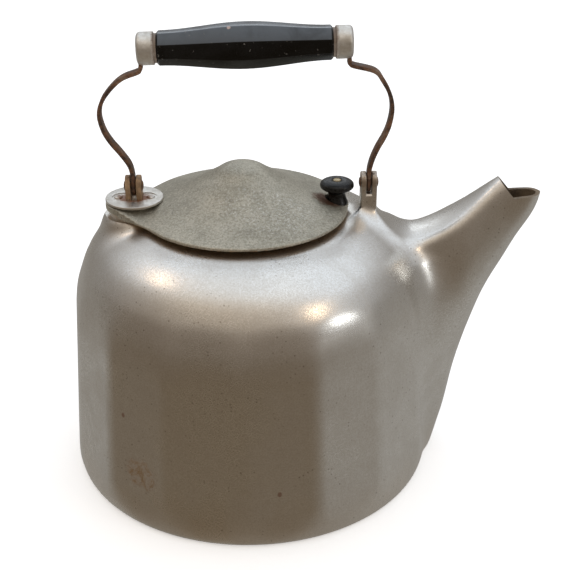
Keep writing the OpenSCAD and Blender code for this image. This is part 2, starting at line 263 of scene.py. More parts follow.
def skin_of(field, low, high, cell):
    """The field's surface as an even net of four-sided faces. Low and high are its corners."""
    count = [int(np.ceil((b - a) / cell)) + 1 for a, b in zip(low, high)]
    axes = [low[i] + cell * np.arange(count[i]) for i in range(3)]
    grid = np.stack(np.meshgrid(*axes, indexing="ij"), -1).reshape(-1, 3)
    part = 300000
    value = np.concatenate([field(grid[i:i + part]) for i in range(0, len(grid), part)]).reshape(count)
    solid = value < 0
    corners = np.zeros([k - 1 for k in count], int)
    for dx in (0, 1):
        for dy in (0, 1):
            for dz in (0, 1):
                corners += solid[dx:count[0] - 1 + dx, dy:count[1] - 1 + dy, dz:count[2] - 1 + dz]
    live = (corners > 0) & (corners < 8)
    number = -np.ones(live.shape, int)
    number[live] = np.arange(live.sum())
    total, hits = np.zeros((live.sum(), 3)), np.zeros(live.sum())
    faces = []
    for a in range(3):
        b, c = (a + 1) % 3, (a + 2) % 3
        near, past = [slice(None)] * 3, [slice(None)] * 3
        near[a], past[a] = slice(0, count[a] - 1), slice(1, count[a])
        edge = np.argwhere(solid[tuple(near)] != solid[tuple(past)])
        ahead = edge.copy()
        ahead[:, a] += 1
        v0, v1 = value[tuple(edge.T)], value[tuple(ahead.T)]
        cross = edge.astype(float)
        cross[:, a] += v0 / (v0 - v1)
        quad = []
        for db, dc in ((0, 0), (-1, 0), (-1, -1), (0, -1)):
            cube = edge.copy()
            cube[:, b] += db
            cube[:, c] += dc
            index = number[tuple(cube.T)]
            for k in range(3):
                total[:, k] += np.bincount(index, cross[:, k], len(total))
            hits += np.bincount(index, minlength=len(hits))
            quad.append(index)
        quad = np.stack(quad, 1)
        turned = ~solid[tuple(edge.T)]
        quad[turned] = quad[turned][:, ::-1]
        faces.append(quad)
    faces = np.concatenate(faces)
    points = np.array(low) + cell * total / hits[:, None]
    # draws the net even along the surface, and sets it back on the surface each time
    points = snapped(field, points, 3)
    pairs = np.concatenate([faces[:, [k, (k + 1) % 4]] for k in range(4)])
    for _ in range(3):
        drawn, near_count = np.zeros_like(points), np.zeros(len(points))
        for k in (0, 1):
            other = points[pairs[:, 1 - k]]
            sums = [np.bincount(pairs[:, k], other[:, j], len(points)) for j in range(3)]
            drawn += np.stack(sums, 1)
            near_count += np.bincount(pairs[:, k], minlength=len(points))
        points = points + 0.5 * (drawn / near_count[:, None] - points)
        points = snapped(field, points, 1)
    return points, faces


def solid_piece(name, points, faces):
    """A new piece from points in mm and faces of point numbers."""
    mesh = bpy.data.meshes.new(name)
    mesh.from_pydata((np.asarray(points) * MM).tolist(), [], [list(map(int, f)) for f in faces])
    mesh.validate()
    piece = bpy.data.objects.new(name, mesh)
    bpy.context.scene.collection.objects.link(piece)
    return piece


def band(low, high):
    """Faces between two rings of point numbers."""
    n = len(low)
    return [[low[k], low[(k + 1) % n], high[(k + 1) % n], high[k]] for k in range(n)]


def lofted_piece(name, rings):
    """A solid through rings of points, closed by a flat face at each end."""
    n, last = len(rings[0]), len(rings) - 1
    faces = [list(range(n - 1, -1, -1)), list(range(last * n, (last + 1) * n))]
    for j in range(last):
        faces += band(range(j * n, (j + 1) * n), range((j + 1) * n, (j + 2) * n))
    return solid_piece(name, [p for ring in rings for p in ring], faces)


def turned_piece(name, outline, steps=96, axis="Z", place=(0, 0, 0)):
    """A solid turned from an outline of (radius, height) points that starts and ends on the axis."""
    points, faces = [], []
    rows = [p for p in outline if p[0] > 1e-6]
    for radius, height in rows:
        for k in range(steps):
            a = math.tau * k / steps
            points.append((radius * math.cos(a), radius * math.sin(a), height))
    for j in range(len(rows) - 1):
        faces += band(range(j * steps, (j + 1) * steps), range((j + 1) * steps, (j + 2) * steps))
    first, last = len(points), len(points) + 1
    points += [(0, 0, outline[0][1]), (0, 0, outline[-1][1])]
    top = (len(rows) - 1) * steps
    for k in range(steps):
        n = (k + 1) % steps
        faces.append([first, n, k])
        faces.append([last, top + k, top + n])
    points = np.array(points, float)
    if axis == "X":
        points = points[:, [2, 0, 1]]
    return solid_piece(name, points + np.array(place, float), faces)


def rounded_slab(name, outline, thick, bevel, axis="X", place=(0, 0, 0), segments=3):
    """An outline of (across, up) points made thick along an axis, with all its edges rounded."""
    rings = np.array([[(s * thick / 2, a, b) for a, b in outline] for s in (-1, 1)], float)
    if axis == "Z":
        rings = rings[:, :, [1, 2, 0]]
    piece = lofted_piece(name, rings + np.array(place, float))
    if bevel:
        shape = bmesh.new()
        shape.from_mesh(piece.data)
        sharp = [e for e in shape.edges if e.calc_face_angle(0) > math.radians(30)]
        bmesh.ops.bevel(shape, geom=sharp, offset=bevel * MM, segments=segments, profile=0.5,
                        affect="EDGES", clamp_overlap=True)
        shape.to_mesh(piece.data)
        shape.free()
    return piece


def combine(piece, tool, operation):
    """Adds or takes away another solid, which is used up."""
    modifier = piece.modifiers.new("combine", "BOOLEAN")
    modifier.operation = operation
    modifier.object = tool
    modifier.solver = "MANIFOLD"
    bpy.context.view_layer.update()
    combined = piece.evaluated_get(bpy.context.evaluated_depsgraph_get())
    result = bpy.data.meshes.new_from_object(combined)
    piece.modifiers.clear()
    piece.data = result
    bpy.data.objects.remove(tool)


def oblong(left, low, right, high):
    """A four-cornered outline. One that starts at 0 turns into a plain round bar."""
    return [(left, low), (right, low), (right, high), (left, high)]


def bored(piece, radius, low, high, place, steps=32, axis="Z"):
    """Cuts a round hole from one height to another, measured from its place."""
    drill = turned_piece("drill", oblong(0, low, radius, high), steps, axis, place)
    combine(piece, drill, "DIFFERENCE")


def smooth_shaded(piece, sharp_angle):
    """Smooth all over, but for edges sharper than an angle in degrees."""
    piece.data.shade_smooth()
    piece.data.set_sharp_from_angle(angle=math.radians(sharp_angle))


def arc(centre, radius, start, stop, steps):
    """Points on a round, from one angle to another in degrees."""
    angles = np.radians(np.linspace(start, stop, steps))
    return [(centre[0] + radius * math.cos(a), centre[1] + radius * math.sin(a)) for a in angles]


def stadium(half_length, radius):
    """A straight-sided outline with round ends."""
    front = arc((half_length, 0), radius, -90, 90, 17)
    return front + arc((-half_length, 0), radius, 90, 270, 17)


def pronged(piece, middle, foot, rounding):
    """Puts two prongs with round heads on a piece, each side of the slot for a strap's eye."""
    half = PRONG_WIDTH / 2
    outline = [(-half, foot), (half, foot)] + arc((0, PRONG_TOP - half), half, 0, 180, 25)
    for side in (-1, 1):
        place = (middle + side * PRONG_SIDE, 0, 0)
        combine(piece, rounded_slab("prong", outline, PRONG_THICK, rounding, place=place), "UNION")


body = solid_piece("body_casting", *skin_of(outer_field, (-122, -122, -6), (196, 122, 212), 2.0))
core = solid_piece("core", *skin_of(core_solid_field, (-116, -116, -2), (196, 116, 212), 2.4))

# the lid's seat is faced off flat, and the lug is cut back where the lid's rim swings past
facing = rounded_slab("facing", oblong(-60, -60, 60, 60), 40, 0, "Z", (0, 0, SEAT_HEIGHT + 20))
combine(body, facing, "DIFFERENCE")
bored(body, RIM_SWING, 167, 260, (PIVOT_X, 0, 0), 256)
combine(body, core, "DIFFERENCE")
# the mouth: a hood cut square across, and a level lip before it
NOTCH = (161.0, 174.7)
mouth = [NOTCH, (201, 177.5), (201, 234.7), (115, 231.7)]
mouth_points = [(x, y, z) for y in (-40, 40) for x, z in mouth]
mouth_faces = [[0, 1, 2, 3], [7, 6, 5, 4]]
mouth_faces += [[k, k + 4, (k + 1) % 4 + 4, (k + 1) % 4] for k in range(4)]
combine(body, solid_piece("mouth", mouth_points, mouth_faces), "DIFFERENCE")
# the boss and the hub that the lid's eye turns on
boss = [(0, 158), (BOSS_RADIUS, 158), (BOSS_RADIUS, EYE_UNDER), (HUB_RADIUS, EYE_UNDER),
        (HUB_RADIUS, HUB_TOP - 0.3), (HUB_RADIUS - 0.3, HUB_TOP), (0, HUB_TOP)]
combine(body, turned_piece("boss", boss, 96, place=(PIVOT_X, 0, 0)), "UNION")
# the pocket in the hub that the ear's foot sits in
EAR_FOOT = 7.3
pocket = rounded_slab("pocket", stadium(EAR_FOOT, 5.6), 2.6, 0, "Z", (PIVOT_X, 0, HUB_TOP))
combine(body, pocket, "DIFFERENCE")
# the front lug's two prongs, and the slot between them
pronged(body, LUG_X, 164, 0.5)
slot = rounded_slab("slot", oblong(-20, SLOT_FLOOR, 20, 200), 3.4, 0, place=(LUG_X, 0, 0))
combine(body, slot, "DIFFERENCE")
smooth_shaded(body, 32)
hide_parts("body")
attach(body, "kettle")


def wired(tree, kind, inputs=None, **settings):
    """A shader node with its settings, and with each input set or linked."""
    node = tree.nodes.new("ShaderNode" + kind)
    for name, value in settings.items():
        setattr(node, name, value)
    for key, value in (inputs or {}).items():
        if isinstance(value, bpy.types.NodeSocket):
            tree.links.new(value, node.inputs[key])
        else:
            node.inputs[key].default_value = value
    return node


def maths(tree, operation, a, b=0.0):
    return wired(tree, "Math", {0: a, 1: b}, operation=operation).outputs[0]


def times(tree, a, b):
    return maths(tree, "MULTIPLY", a, b)


def plus(tree, a, b):
    return maths(tree, "ADD", a, b)


def axes_of(tree, vector):
    """A vector's three numbers."""
    return wired(tree, "SeparateXYZ", {0: vector}).outputs


def eased(tree, value, low, high, out_low=0.0, out_high=1.0):
    """Takes a value from one range to another, gently at both ends."""
    inputs = {0: value, 1: low, 2: high, 3: out_low, 4: out_high}
    return wired(tree, "MapRange", inputs, interpolation_type="SMOOTHSTEP").outputs[0]


def noise(tree, where, scale, detail, rough, distort=0.0):
    inputs = {"Vector": where, "Scale": scale, "Detail": detail, "Roughness": rough,
              "Distortion": distort}
    return wired(tree, "TexNoise", inputs).outputs["Fac"]


def mixed(tree, share, a, b):
    """Two colours mixed; share, a and b are each a socket or a value."""
    node = wired(tree, "Mix", data_type="RGBA")
    for key, value in ((0, share), (6, a), (7, b)):
        if isinstance(value, bpy.types.NodeSocket):
            tree.links.new(value, node.inputs[key])
        elif key:
            node.inputs[key].default_value = (*value, 1)
        else:
            node.inputs[key].default_value = value
    return node.outputs[2]


def shader_group(name, inputs, outputs):
    """An empty group with named value inputs and outputs, and its two end nodes."""
    tree = bpy.data.node_groups.new(name, "ShaderNodeTree")
    for socket, value in inputs.items():
        kind = "NodeSocketVector" if socket == "Place" else "NodeSocketFloat"
        made = tree.interface.new_socket(socket, in_out="INPUT", socket_type=kind)
        if value is not None:
            made.default_value = value
    for socket in outputs:
        tree.interface.new_socket(socket, in_out="OUTPUT", socket_type="NodeSocketFloat")
    return tree, tree.nodes.new("NodeGroupInput").outputs, tree.nodes.new("NodeGroupOutput")


def bumped(tree, height, strength, distance):
    """A normal raised by a height, which has its effect over a distance in metres."""
    inputs = {"Height": height, "Strength": strength, "Distance": distance}
    return wired(tree, "Bump", inputs).outputs[0]


def dressed(piece, material):
    """Gives a piece one material and no other."""
    piece.data.materials.clear()
    piece.data.materials.append(material)


def finish_of(name, piece=None):
    """A new material: its tree, its shader and the place on the piece that its textures use."""
    material = bpy.data.materials.new(name)
    material.use_nodes = True
    tree = material.node_tree
    place = wired(tree, "TexCoord").outputs["Object"]
    if piece is not None:
        dressed(piece, material)
    return material, tree, tree.nodes["Principled BSDF"], place


def set_shader(tree, shader, **values):
    """Sets or links the shader's sockets; underscores stand for spaces."""
    for name, value in values.items():
        socket = shader.inputs[name.replace("_", " ")]
        if isinstance(value, bpy.types.NodeSocket):
            tree.links.new(value, socket)
        elif isinstance(value, tuple):
            socket.default_value = (*value, 1)
        else:
            socket.default_value = value


# Old cast metal: broad tarnish, a fine blotch, hairline scratches round and up the piece, and
# scattered pits. Each comes out as a mask from 0 to 1.
aged_inputs = {"Place": None, "Tarnish scale": 22.0, "Blotch scale": 160.0, "Scratch scale": 1.0,
               "Pit scale": 260.0, "Pit share": 0.5}
aged, given, out = shader_group("aged_metal", aged_inputs,
                                ["Tarnish", "Blotch", "Scratches", "Pits", "Height"])
where = given["Place"]
split = axes_of(aged, where)
CASTING_RADIUS = 0.11
around = times(aged, maths(aged, "ARCTAN2", split[1], split[0]), CASTING_RADIUS)
reach_out = maths(aged, "SQRT", plus(aged, times(aged, split[0], split[0]),
                                     times(aged, split[1], split[1])))


def scratched(packed, distort):
    """Hairlines: noise packed by its own amount round, out and up the piece."""
    directions = enumerate((around, reach_out, split[2]))
    parts = {k: times(aged, part, packed[k]) for k, part in directions}
    drawn_out = wired(aged, "CombineXYZ", parts).outputs[0]
    return noise(aged, drawn_out, given["Scratch scale"], 4, 0.7, distort)


lines, rubs = scratched((30.0, 300.0, 900.0), 0.3), scratched((700.0, 60.0, 35.0), 0.4)
scratches = plus(aged, times(aged, lines, 0.5), times(aged, rubs, 0.5))
tarnish = eased(aged, noise(aged, where, given["Tarnish scale"], 4, 0.6, 0.6), 0.32, 0.68)
blotch = eased(aged, noise(aged, where, given["Blotch scale"], 5, 0.7, 0.2), 0.3, 0.7)
cells = wired(aged, "TexVoronoi", {"Vector": where, "Scale": given["Pit scale"], "Randomness": 1.0})
spot = eased(aged, cells.outputs["Distance"], 0.1, 0.3, 1.0, 0.0)
sparse = wired(aged, "SeparateColor", {0: cells.outputs["Color"]}).outputs
chosen = maths(aged, "GREATER_THAN", given["Pit share"], sparse[0])
herd = eased(aged, noise(aged, where, 38.0, 2, 0.5, 0.0), 0.42, 0.62)
pits = times(aged, times(aged, spot, chosen), herd)
height = plus(aged, times(aged, scratches, 0.5), times(aged, blotch, 0.35))
height = maths(aged, "SUBTRACT", height, pits)
for socket, value in (("Tarnish", tarnish), ("Blotch", blotch), ("Scratches", scratches),
                      ("Pits", pits), ("Height", height)):
    aged.links.new(value, out.inputs[socket])


def aged_masks(tree, place, **values):
    """Places the group in a material, with its own values."""
    node = wired(tree, "Group")
    node.node_tree = aged
    tree.links.new(place, node.inputs["Place"])
    for name, value in values.items():
        node.inputs[name.replace("_", " ")].default_value = value
    return node.outputs


def blob(tree, place, centre, size, ragged, scale):
    """A ragged patch round a point: 1 in its middle, 0 outside. Size is its half widths in mm."""
    middle = tuple(c * MM for c in centre)
    moved = wired(tree, "VectorMath", {0: place, 1: middle}, operation="SUBTRACT")
    shrink = tuple(1 / (w * MM) for w in size)
    scaled = wired(tree, "VectorMath", {0: moved.outputs[0], 1: shrink}, operation="MULTIPLY")
    far = wired(tree, "VectorMath", {0: scaled.outputs[0]}, operation="LENGTH").outputs["Value"]
    swing = maths(tree, "SUBTRACT", noise(tree, place, scale, 5, 0.7), 0.5)
    return eased(tree, plus(tree, far, times(tree, swing, 2 * ragged)), 0.55, 1.0, 1.0, 0.0)


# Satin aluminium, rubbed bright long ago, and browner towards the bottom
material, tree, shader, place = finish_of("satin_casting", body)
masks = aged_masks(tree, place, Pit_scale=420.0, Pit_share=0.3)
colour = mixed(tree, masks["Tarnish"], (0.81, 0.795, 0.765), (0.71, 0.685, 0.645))
colour = mixed(tree, eased(tree, masks["Scratches"], 0.35, 0.7, 0.0, 0.35), colour, (0.86, 0.85, 0.83))
colour = mixed(tree, times(tree, masks["Blotch"], 0.25), colour, (0.62, 0.58, 0.53))
uneven_height = plus(tree, axes_of(tree, place)[2], times(tree, masks["Tarnish"], 0.02))
low_down = eased(tree, uneven_height, 0.004, 0.05, 0.55, 0.0)
colour = mixed(tree, low_down, colour, (0.64, 0.55, 0.45))
stain = blob(tree, place, (-66, -92, 38), (17, 12, 12), 0.75, 130.0)
stain = times(tree, stain, eased(tree, masks["Blotch"], 0.0, 0.7, 0.35, 1.0))
colour = mixed(tree, stain, colour, (0.30, 0.18, 0.07))
grain = noise(tree, place, 1100.0, 5, 0.75)
colour = mixed(tree, eased(tree, grain, 0.38, 0.62, 0.0, 0.6), colour, (0.56, 0.52, 0.46))
lug_stain = blob(tree, place, (LUG_X, 0, PIN_HEIGHT + 1), (11, 9, 10), 0.4, 260.0)
colour = mixed(tree, times(tree, lug_stain, 0.8), colour, (0.34, 0.25, 0.17))
# painted shade: a browner patch round the hub, under the back of the lid
shade_under_eye = blob(tree, place, (PIVOT_X, 0, 170), (30, 30, 6), 0.6, 200.0)
colour = mixed(tree, times(tree, shade_under_eye, 0.4), colour, (0.5, 0.42, 0.32))
BURNT_SPOTS = (((-75, -82.5, 74), 1.5), ((-58, -94, 24), 1.8), ((-86, -70, 66), 1.2),
               ((15, -113, 37), 1.6))
for centre, size in BURNT_SPOTS:
    spot = blob(tree, place, centre, (size, size, size * 1.3), 0.3, 400.0)
    colour = mixed(tree, times(tree, spot, 0.6), colour, (0.3, 0.12, 0.08))
colour = mixed(tree, times(tree, masks["Pits"], 0.55), colour, (0.2, 0.16, 0.12))
rough = plus(tree, eased(tree, masks["Tarnish"], 0, 1, 0.23, 0.3),
             times(tree, masks["Scratches"], 0.05))
rough = plus(tree, rough, times(tree, maths(tree, "MAXIMUM", stain, lug_stain), 0.2))
rough = plus(tree, rough, eased(tree, grain, 0.3, 0.7, -0.03, 0.07))
relief = plus(tree, masks["Height"], times(tree, grain, 0.3))
bump = bumped(tree, relief, 0.07, 0.0004)
set_shader(tree, shader, Base_Color=colour, Roughness=rough, Metallic=eased(tree, stain, 0, 1, 1.0, 0.8),
           Normal=bump)

# Inside, the metal is dark with years of scale
material, tree, shader, place = finish_of("scaled_inside")
masks = aged_masks(tree, place, Tarnish_scale=60.0, Pit_share=0.7)
colour = mixed(tree, masks["Tarnish"], (0.20, 0.15, 0.10), (0.09, 0.065, 0.045))
colour = mixed(tree, times(tree, masks["Blotch"], 0.5), colour, (0.33, 0.26, 0.18))
bump = bumped(tree, masks["Height"], 0.5, 0.0006)
set_shader(tree, shader, Base_Color=colour, Roughness=0.6, Metallic=0.3, Normal=bump)
body.data.materials.append(material)
centres = np.zeros(len(body.data.polygons) * 3)
body.data.polygons.foreach_get("center", centres)
centres = centres.reshape(-1, 3) / MM
inner = core_solid_field(centres) < 0.35
lip_of_mouth = (centres[:, 2] > SEAT_HEIGHT - 0.4) & (centres[:, 0] < 60)
body.data.polygons.foreach_set("material_index", (inner & ~lip_of_mouth).astype(np.int32))

# ---- The lid ----
# A thin casting in one piece: a disc that rises to a smooth dome, and at the back a round eye
# that turns on the body's hub. Its skin has gone dull and grey-green, scraped lighter in places.
LID_RADIUS = 63.9
LID_UNDER = 168.5
EYE_TOP = 175.1
EYE_RADIUS = 17.5
KNOB_X = 54.0
KNOB_BASE = 170.6
SCREW_HOLE = 1.95
DOME = [[0, 197.7], [6, 197.3], [12, 195.4], [18, 191.5], [26, 186.7], [34, 182], [44, 177.3],
        [54, 173.6], [64, 170.4], [70, 168.6]]
dome_line = np.array(curve_through(DOME, 8))
hollow_line = np.array(curve_through([[0, 195], [6, 194.4], [14, 190.2], [22, 185.2], [30, 180.3],
                                      [38, 175.9], [44, 172.6], [48, 169.6], [52, 167]], 8))


def lid_field(p):
    """The disc, the dome and the eye, less the hollow under the dome."""
    x, y, z = p.T
    from_lid, from_pivot = np.hypot(x - LID_X, y), np.hypot(x - PIVOT_X, y)
    dome = (z - np.interp(from_lid, *dome_line.T)) * 0.88
    # the eye's flat top dips smoothly into the dome's skirt
    bank = join_high(np.abs(y) * 0.45 + (x - PIVOT_X - 12) * 0.42, 0.0, 6)
    top = join_low(dome, z - EYE_TOP + bank * 0.7, 3)
    plan = join_low(from_lid - LID_RADIUS, from_pivot - EYE_RADIUS, 22)
    under_eye = EYE_UNDER + 0.2 - z - np.clip((from_pivot - 17.8) * 1.2, 0, 8)
    under = join_high(LID_UNDER - z, under_eye, 0.8)
    solid = join_high(join_high(plan, top, 0.9), under, 0.9)
    hollow = join_high((z - np.interp(from_lid, *hollow_line.T)) * 0.88, from_lid - 47, 2)
    return join_high(solid, -hollow, 1.0)


lid = solid_piece("lid_casting", *skin_of(lid_field, (-90, -68, 165), (64, 68, 201), 1.15))
bored(lid, HUB_RADIUS + 0.06, 150, 190, (PIVOT_X, 0, 0), 128)
# a low flat under the knob, and its screw hole
spotface = [(0, 166), (7.1, 166), (7.3, KNOB_BASE - 0.3), (7.0, KNOB_BASE), (0, KNOB_BASE)]
combine(lid, turned_piece("spotface", spotface, 64, place=(KNOB_X, 0, 0)), "UNION")
bored(lid, 7.3, KNOB_BASE, 190, (KNOB_X, 0, 0), 64)
below = rounded_slab("below", oblong(-20, -20, 20, 20), 10, 0, "Z", (KNOB_X, 0, LID_UNDER - 5))
combine(lid, below, "DIFFERENCE")
bored(lid, SCREW_HOLE, 150, 190, (KNOB_X, 0, 0))
smooth_shaded(lid, 38)
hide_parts("lid")
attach(lid, "lid")

material, tree, shader, place = finish_of("oxidised_casting", lid)
masks = aged_masks(tree, place, Tarnish_scale=38.0, Blotch_scale=330.0, Pit_scale=420.0, Pit_share=0.6)
colour = mixed(tree, masks["Tarnish"], (0.56, 0.525, 0.435), (0.36, 0.335, 0.27))
colour = mixed(tree, eased(tree, masks["Blotch"], 0.3, 0.8, 0.0, 0.6), colour, (0.60, 0.57, 0.48))
mottle = noise(tree, place, 820.0, 5, 0.8)
colour = mixed(tree, eased(tree, mottle, 0.42, 0.62, 0.0, 0.7), colour, (0.28, 0.262, 0.21))
colour = mixed(tree, eased(tree, mottle, 0.36, 0.46, 0.6, 0.0), colour, (0.60, 0.58, 0.50))
colour = mixed(tree, times(tree, masks["Pits"], 0.6), colour, (0.15, 0.14, 0.12))
scraped = blob(tree, place, (14, -34, 181), (40, 28, 14), 0.8, 60.0)
flecks = eased(tree, noise(tree, place, 620.0, 4, 0.75), 0.52, 0.66)
bright_flecks = times(tree, times(tree, scraped, flecks), 0.8)
colour = mixed(tree, bright_flecks, colour, (0.72, 0.71, 0.66))
# rust and painted shadow: a dark rust-brown patch at the left of the knob's foot
knob_shadow_rust = blob(tree, place, (48, -4, 174), (12, 10, 8), 0.5, 220.0)
colour = mixed(tree, times(tree, knob_shadow_rust, 0.9), colour, (0.14, 0.055, 0.025))
# painted reflection: faces turned downwards are coloured warm orange-brown, as if lit from below
facing_down = axes_of(tree, wired(tree, "TexCoord").outputs["Normal"])[2]
underside_reflection = eased(tree, facing_down, -0.6, -0.2, 1.0, 0.0)
colour = mixed(tree, times(tree, underside_reflection, 0.8), colour, (0.55, 0.36, 0.19))
rough = eased(tree, masks["Blotch"], 0, 1, 0.42, 0.58)
bump = bumped(tree, masks["Height"], 0.35, 0.0005)
set_shader(tree, shader, Base_Color=colour, Roughness=rough, Metallic=0.75, Normal=bump)

# ---- The knob, its screw, washer and nut ----
# A turned black phenolic knob with a flared foot and a flat button top. A slotted brassy screw
# goes down through it and the lid into a washer and a nut.
KNOB_HEIGHT = 15.2
SCREW_SINK = 13.6
waist = curve_through([[6.9, 1], [6.0, 3.2], [5.3, 5.8], [5.8, 7.8], [8.3, 9.3], [10.0, 10.6],
                       [10.3, 11.9], [9.9, 13.2], [8.3, 14.4], [6, 15.0]], 5)
knob_line = [(0, 0), (6.5, 0), (6.85, 0.35)] + [tuple(p) for p in waist]
knob_line += [(3.1, KNOB_HEIGHT), (2.8, KNOB_HEIGHT - 0.2), (2.8, SCREW_SINK), (0, SCREW_SINK)]
knob = turned_piece("knob_turned", knob_line, 72, place=(KNOB_X, 0, KNOB_BASE))
smooth_shaded(knob, 40)
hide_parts("knob")
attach(knob, "lid")
material, tree, shader, place = finish_of("matt_phenolic", knob)
worn = noise(tree, place, 700.0, 4, 0.65)
colour = mixed(tree, eased(tree, worn, 0.4, 0.75), (0.005, 0.005, 0.005), (0.02, 0.019, 0.018))
bump = bumped(tree, worn, 0.15, 0.0003)
set_shader(tree, shader, Base_Color=colour, Roughness=eased(tree, worn, 0.3, 0.7, 0.24, 0.4),
           Normal=bump, Specular_IOR_Level=0.3)

SCREW_SEAT = KNOB_BASE + SCREW_SINK
screw_line = [(0, 164.9), (1.5, 164.9), (1.9, 165.4), (1.9, SCREW_SEAT), (2.6, SCREW_SEAT)]
screw_line += arc((1.75, SCREW_SEAT + 1.1), 0.85, 0, 60, 5)
screw_line += [(1.1, SCREW_SEAT + 2.15), (0, SCREW_SEAT + 2.3)]
screw = turned_piece("knob_screw_turned", screw_line, 48, place=(KNOB_X, 0, 0))
groove = rounded_slab("groove", oblong(-0.42, 0, 0.42, 3), 12, 0, "X", (KNOB_X, 0, SCREW_SEAT + 1.4))
combine(screw, groove, "DIFFERENCE")
smooth_shaded(screw, 35)
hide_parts("knob_screw")
washer_line = [(0, 167.9), (1.95, 167.9), (3.5, 167.9), (3.6, 168.0), (3.6, 168.4), (3.5, 168.5),
               (1.95, 168.5), (0, 168.5)]
washer = turned_piece("washer_turned", washer_line, 48, place=(KNOB_X, 0, 0))
bored(washer, SCREW_HOLE, 160, 175, (KNOB_X, 0, 0))
smooth_shaded(washer, 35)
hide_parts("knob_washer")
nut = rounded_slab("knob_nut_hex", arc((0, 0), 3.5, 0, 300, 6), 2.2, 0.25, "Z", (KNOB_X, 0, 166.8), 2)
bored(nut, 1.92, 160, 175, (KNOB_X, 0, 0))
smooth_shaded(nut, 25)
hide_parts("knob_nut")
material, tree, shader, place = finish_of("old_brass")
masks = aged_masks(tree, place, Blotch_scale=900.0, Pit_scale=900.0)
colour = mixed(tree, masks["Blotch"], (0.66, 0.58, 0.40), (0.35, 0.27, 0.16))
set_shader(tree, shader, Base_Color=colour, Metallic=0.9,
           Roughness=eased(tree, masks["Blotch"], 0, 1, 0.3, 0.5))
for fixing in (screw, washer, nut):
    dressed(fixing, material)
    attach(fixing, "lid")

# ---- The rear ear, its plate and its rivets ----
# The ear that holds the back of the handle is stained cast steel: two prongs on a flat foot. A
# stamped aluminium disc with a recess and a window for the prongs goes over the foot, and two
# domed rivets go down into the hub.
ear = rounded_slab("rear_ear_cast", stadium(EAR_FOOT, 5.5), 1.3, 0.15, "Z",
                   (PIVOT_X, 0, HUB_TOP - 0.65))
pronged(ear, PIVOT_X, HUB_TOP - 0.7, 0.55)
smooth_shaded(ear, 35)
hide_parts("rear_ear")
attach(ear, "kettle")

PLATE_TOP = 176.9
plate_line = [(0, HUB_TOP), (17.2, HUB_TOP), (17.5, HUB_TOP + 0.3), (17.5, PLATE_TOP - 0.6)]
plate_line += arc((17.0, PLATE_TOP - 0.5), 0.5, 0, 90, 5) + [(0, PLATE_TOP)]
plate = turned_piece("retaining_disc", plate_line, 96, place=(PIVOT_X, 0, 0))
for outline, thick, height in ((stadium(EAR_FOOT, 6.3), 4, PLATE_TOP - 0.45 + 2),
                               (oblong(-5.0, -5.7, 5.0, 5.7), 20, PLATE_TOP)):
    recess = rounded_slab("recess", outline, thick, 0, "Z", (PIVOT_X, 0, height))
    combine(plate, recess, "DIFFERENCE")
smooth_shaded(plate, 35)
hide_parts("retaining_plate")
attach(plate, "kettle")

RIVET_SEAT = PLATE_TOP - 0.7
rivet_line = [(0, RIVET_SEAT - 8), (1.4, RIVET_SEAT - 8), (1.4, RIVET_SEAT), (2.55, RIVET_SEAT)]
for t in np.linspace(0, 1.5, 8):
    rivet_line.append((2.6 * math.cos(t), RIVET_SEAT + 0.15 + 1.3 * math.sin(t)))
rivet_line.append((0, RIVET_SEAT + 1.45))
RIVET_OUT = 9.7
rivets = [turned_piece("plate_rivet", rivet_line, 40, place=(PIVOT_X + out, 0, 0))
          for out in (-RIVET_OUT, RIVET_OUT)]
combine(rivets[0], rivets[1], "UNION")
rivets[0].name = "plate_rivets_domed"
smooth_shaded(rivets[0], 40)
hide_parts("plate_rivets")
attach(rivets[0], "kettle")

material, tree, shader, place = finish_of("plate_aluminium", plate)
masks = aged_masks(tree, place, Tarnish_scale=120.0, Blotch_scale=500.0, Pit_scale=500.0)
colour = mixed(tree, masks["Tarnish"], (0.78, 0.76, 0.72), (0.62, 0.59, 0.54))
colour = mixed(tree, times(tree, masks["Blotch"], 0.3), colour, (0.5, 0.46, 0.4))
rust_run = blob(tree, place, (PIVOT_X, -1, PLATE_TOP), (12, 10, 8), 0.5, 300.0)
colour = mixed(tree, rust_run, colour, (0.22, 0.085, 0.03))
bump = bumped(tree, masks["Height"], 0.25, 0.0003)
set_shader(tree, shader, Base_Color=colour, Metallic=eased(tree, rust_run, 0, 1, 0.95, 0.2),
           Roughness=eased(tree, masks["Blotch"], 0, 1, 0.34, 0.5), Normal=bump)
dressed(rivets[0], material)

# ---- The handle's straps and pins ----
# Flat spring steel bent to an S, with a round eye at each end. The plating has gone, and the
# steel is brown with rust, darker in the bends. Riveted pins carry them in the ears.
STRAP_WIDTH, STRAP_THICK = 8.0, 2.3
GRIP_HEIGHT = 269.0
GRIP_TILT = math.radians(1.2)
FERRULE_END = 61.7
STRAP_SLOT = 59.7
DRAWN_TOP = 84.9
PIN_RADIUS = 2.0

# Rust: a dark crust with brighter brown bloom and the last of the bare steel on top
rusted, given, out = shader_group("rust", {"Place": None, "Scale": 420.0}, ["Bloom", "Bare", "Height"])
crust = noise(rusted, given["Place"], given["Scale"], 6, 0.7, 0.4)
broad = noise(rusted, given["Place"], 70.0, 3, 0.6, 0.3)
bloom = eased(rusted, plus(rusted, times(rusted, crust, 0.6), times(rusted, broad, 0.4)), 0.4, 0.62)
bare = eased(rusted, broad, 0.56, 0.7)
for socket, value in (("Bloom", bloom), ("Bare", bare), ("Height", crust)):
    rusted.links.new(value, out.inputs[socket])


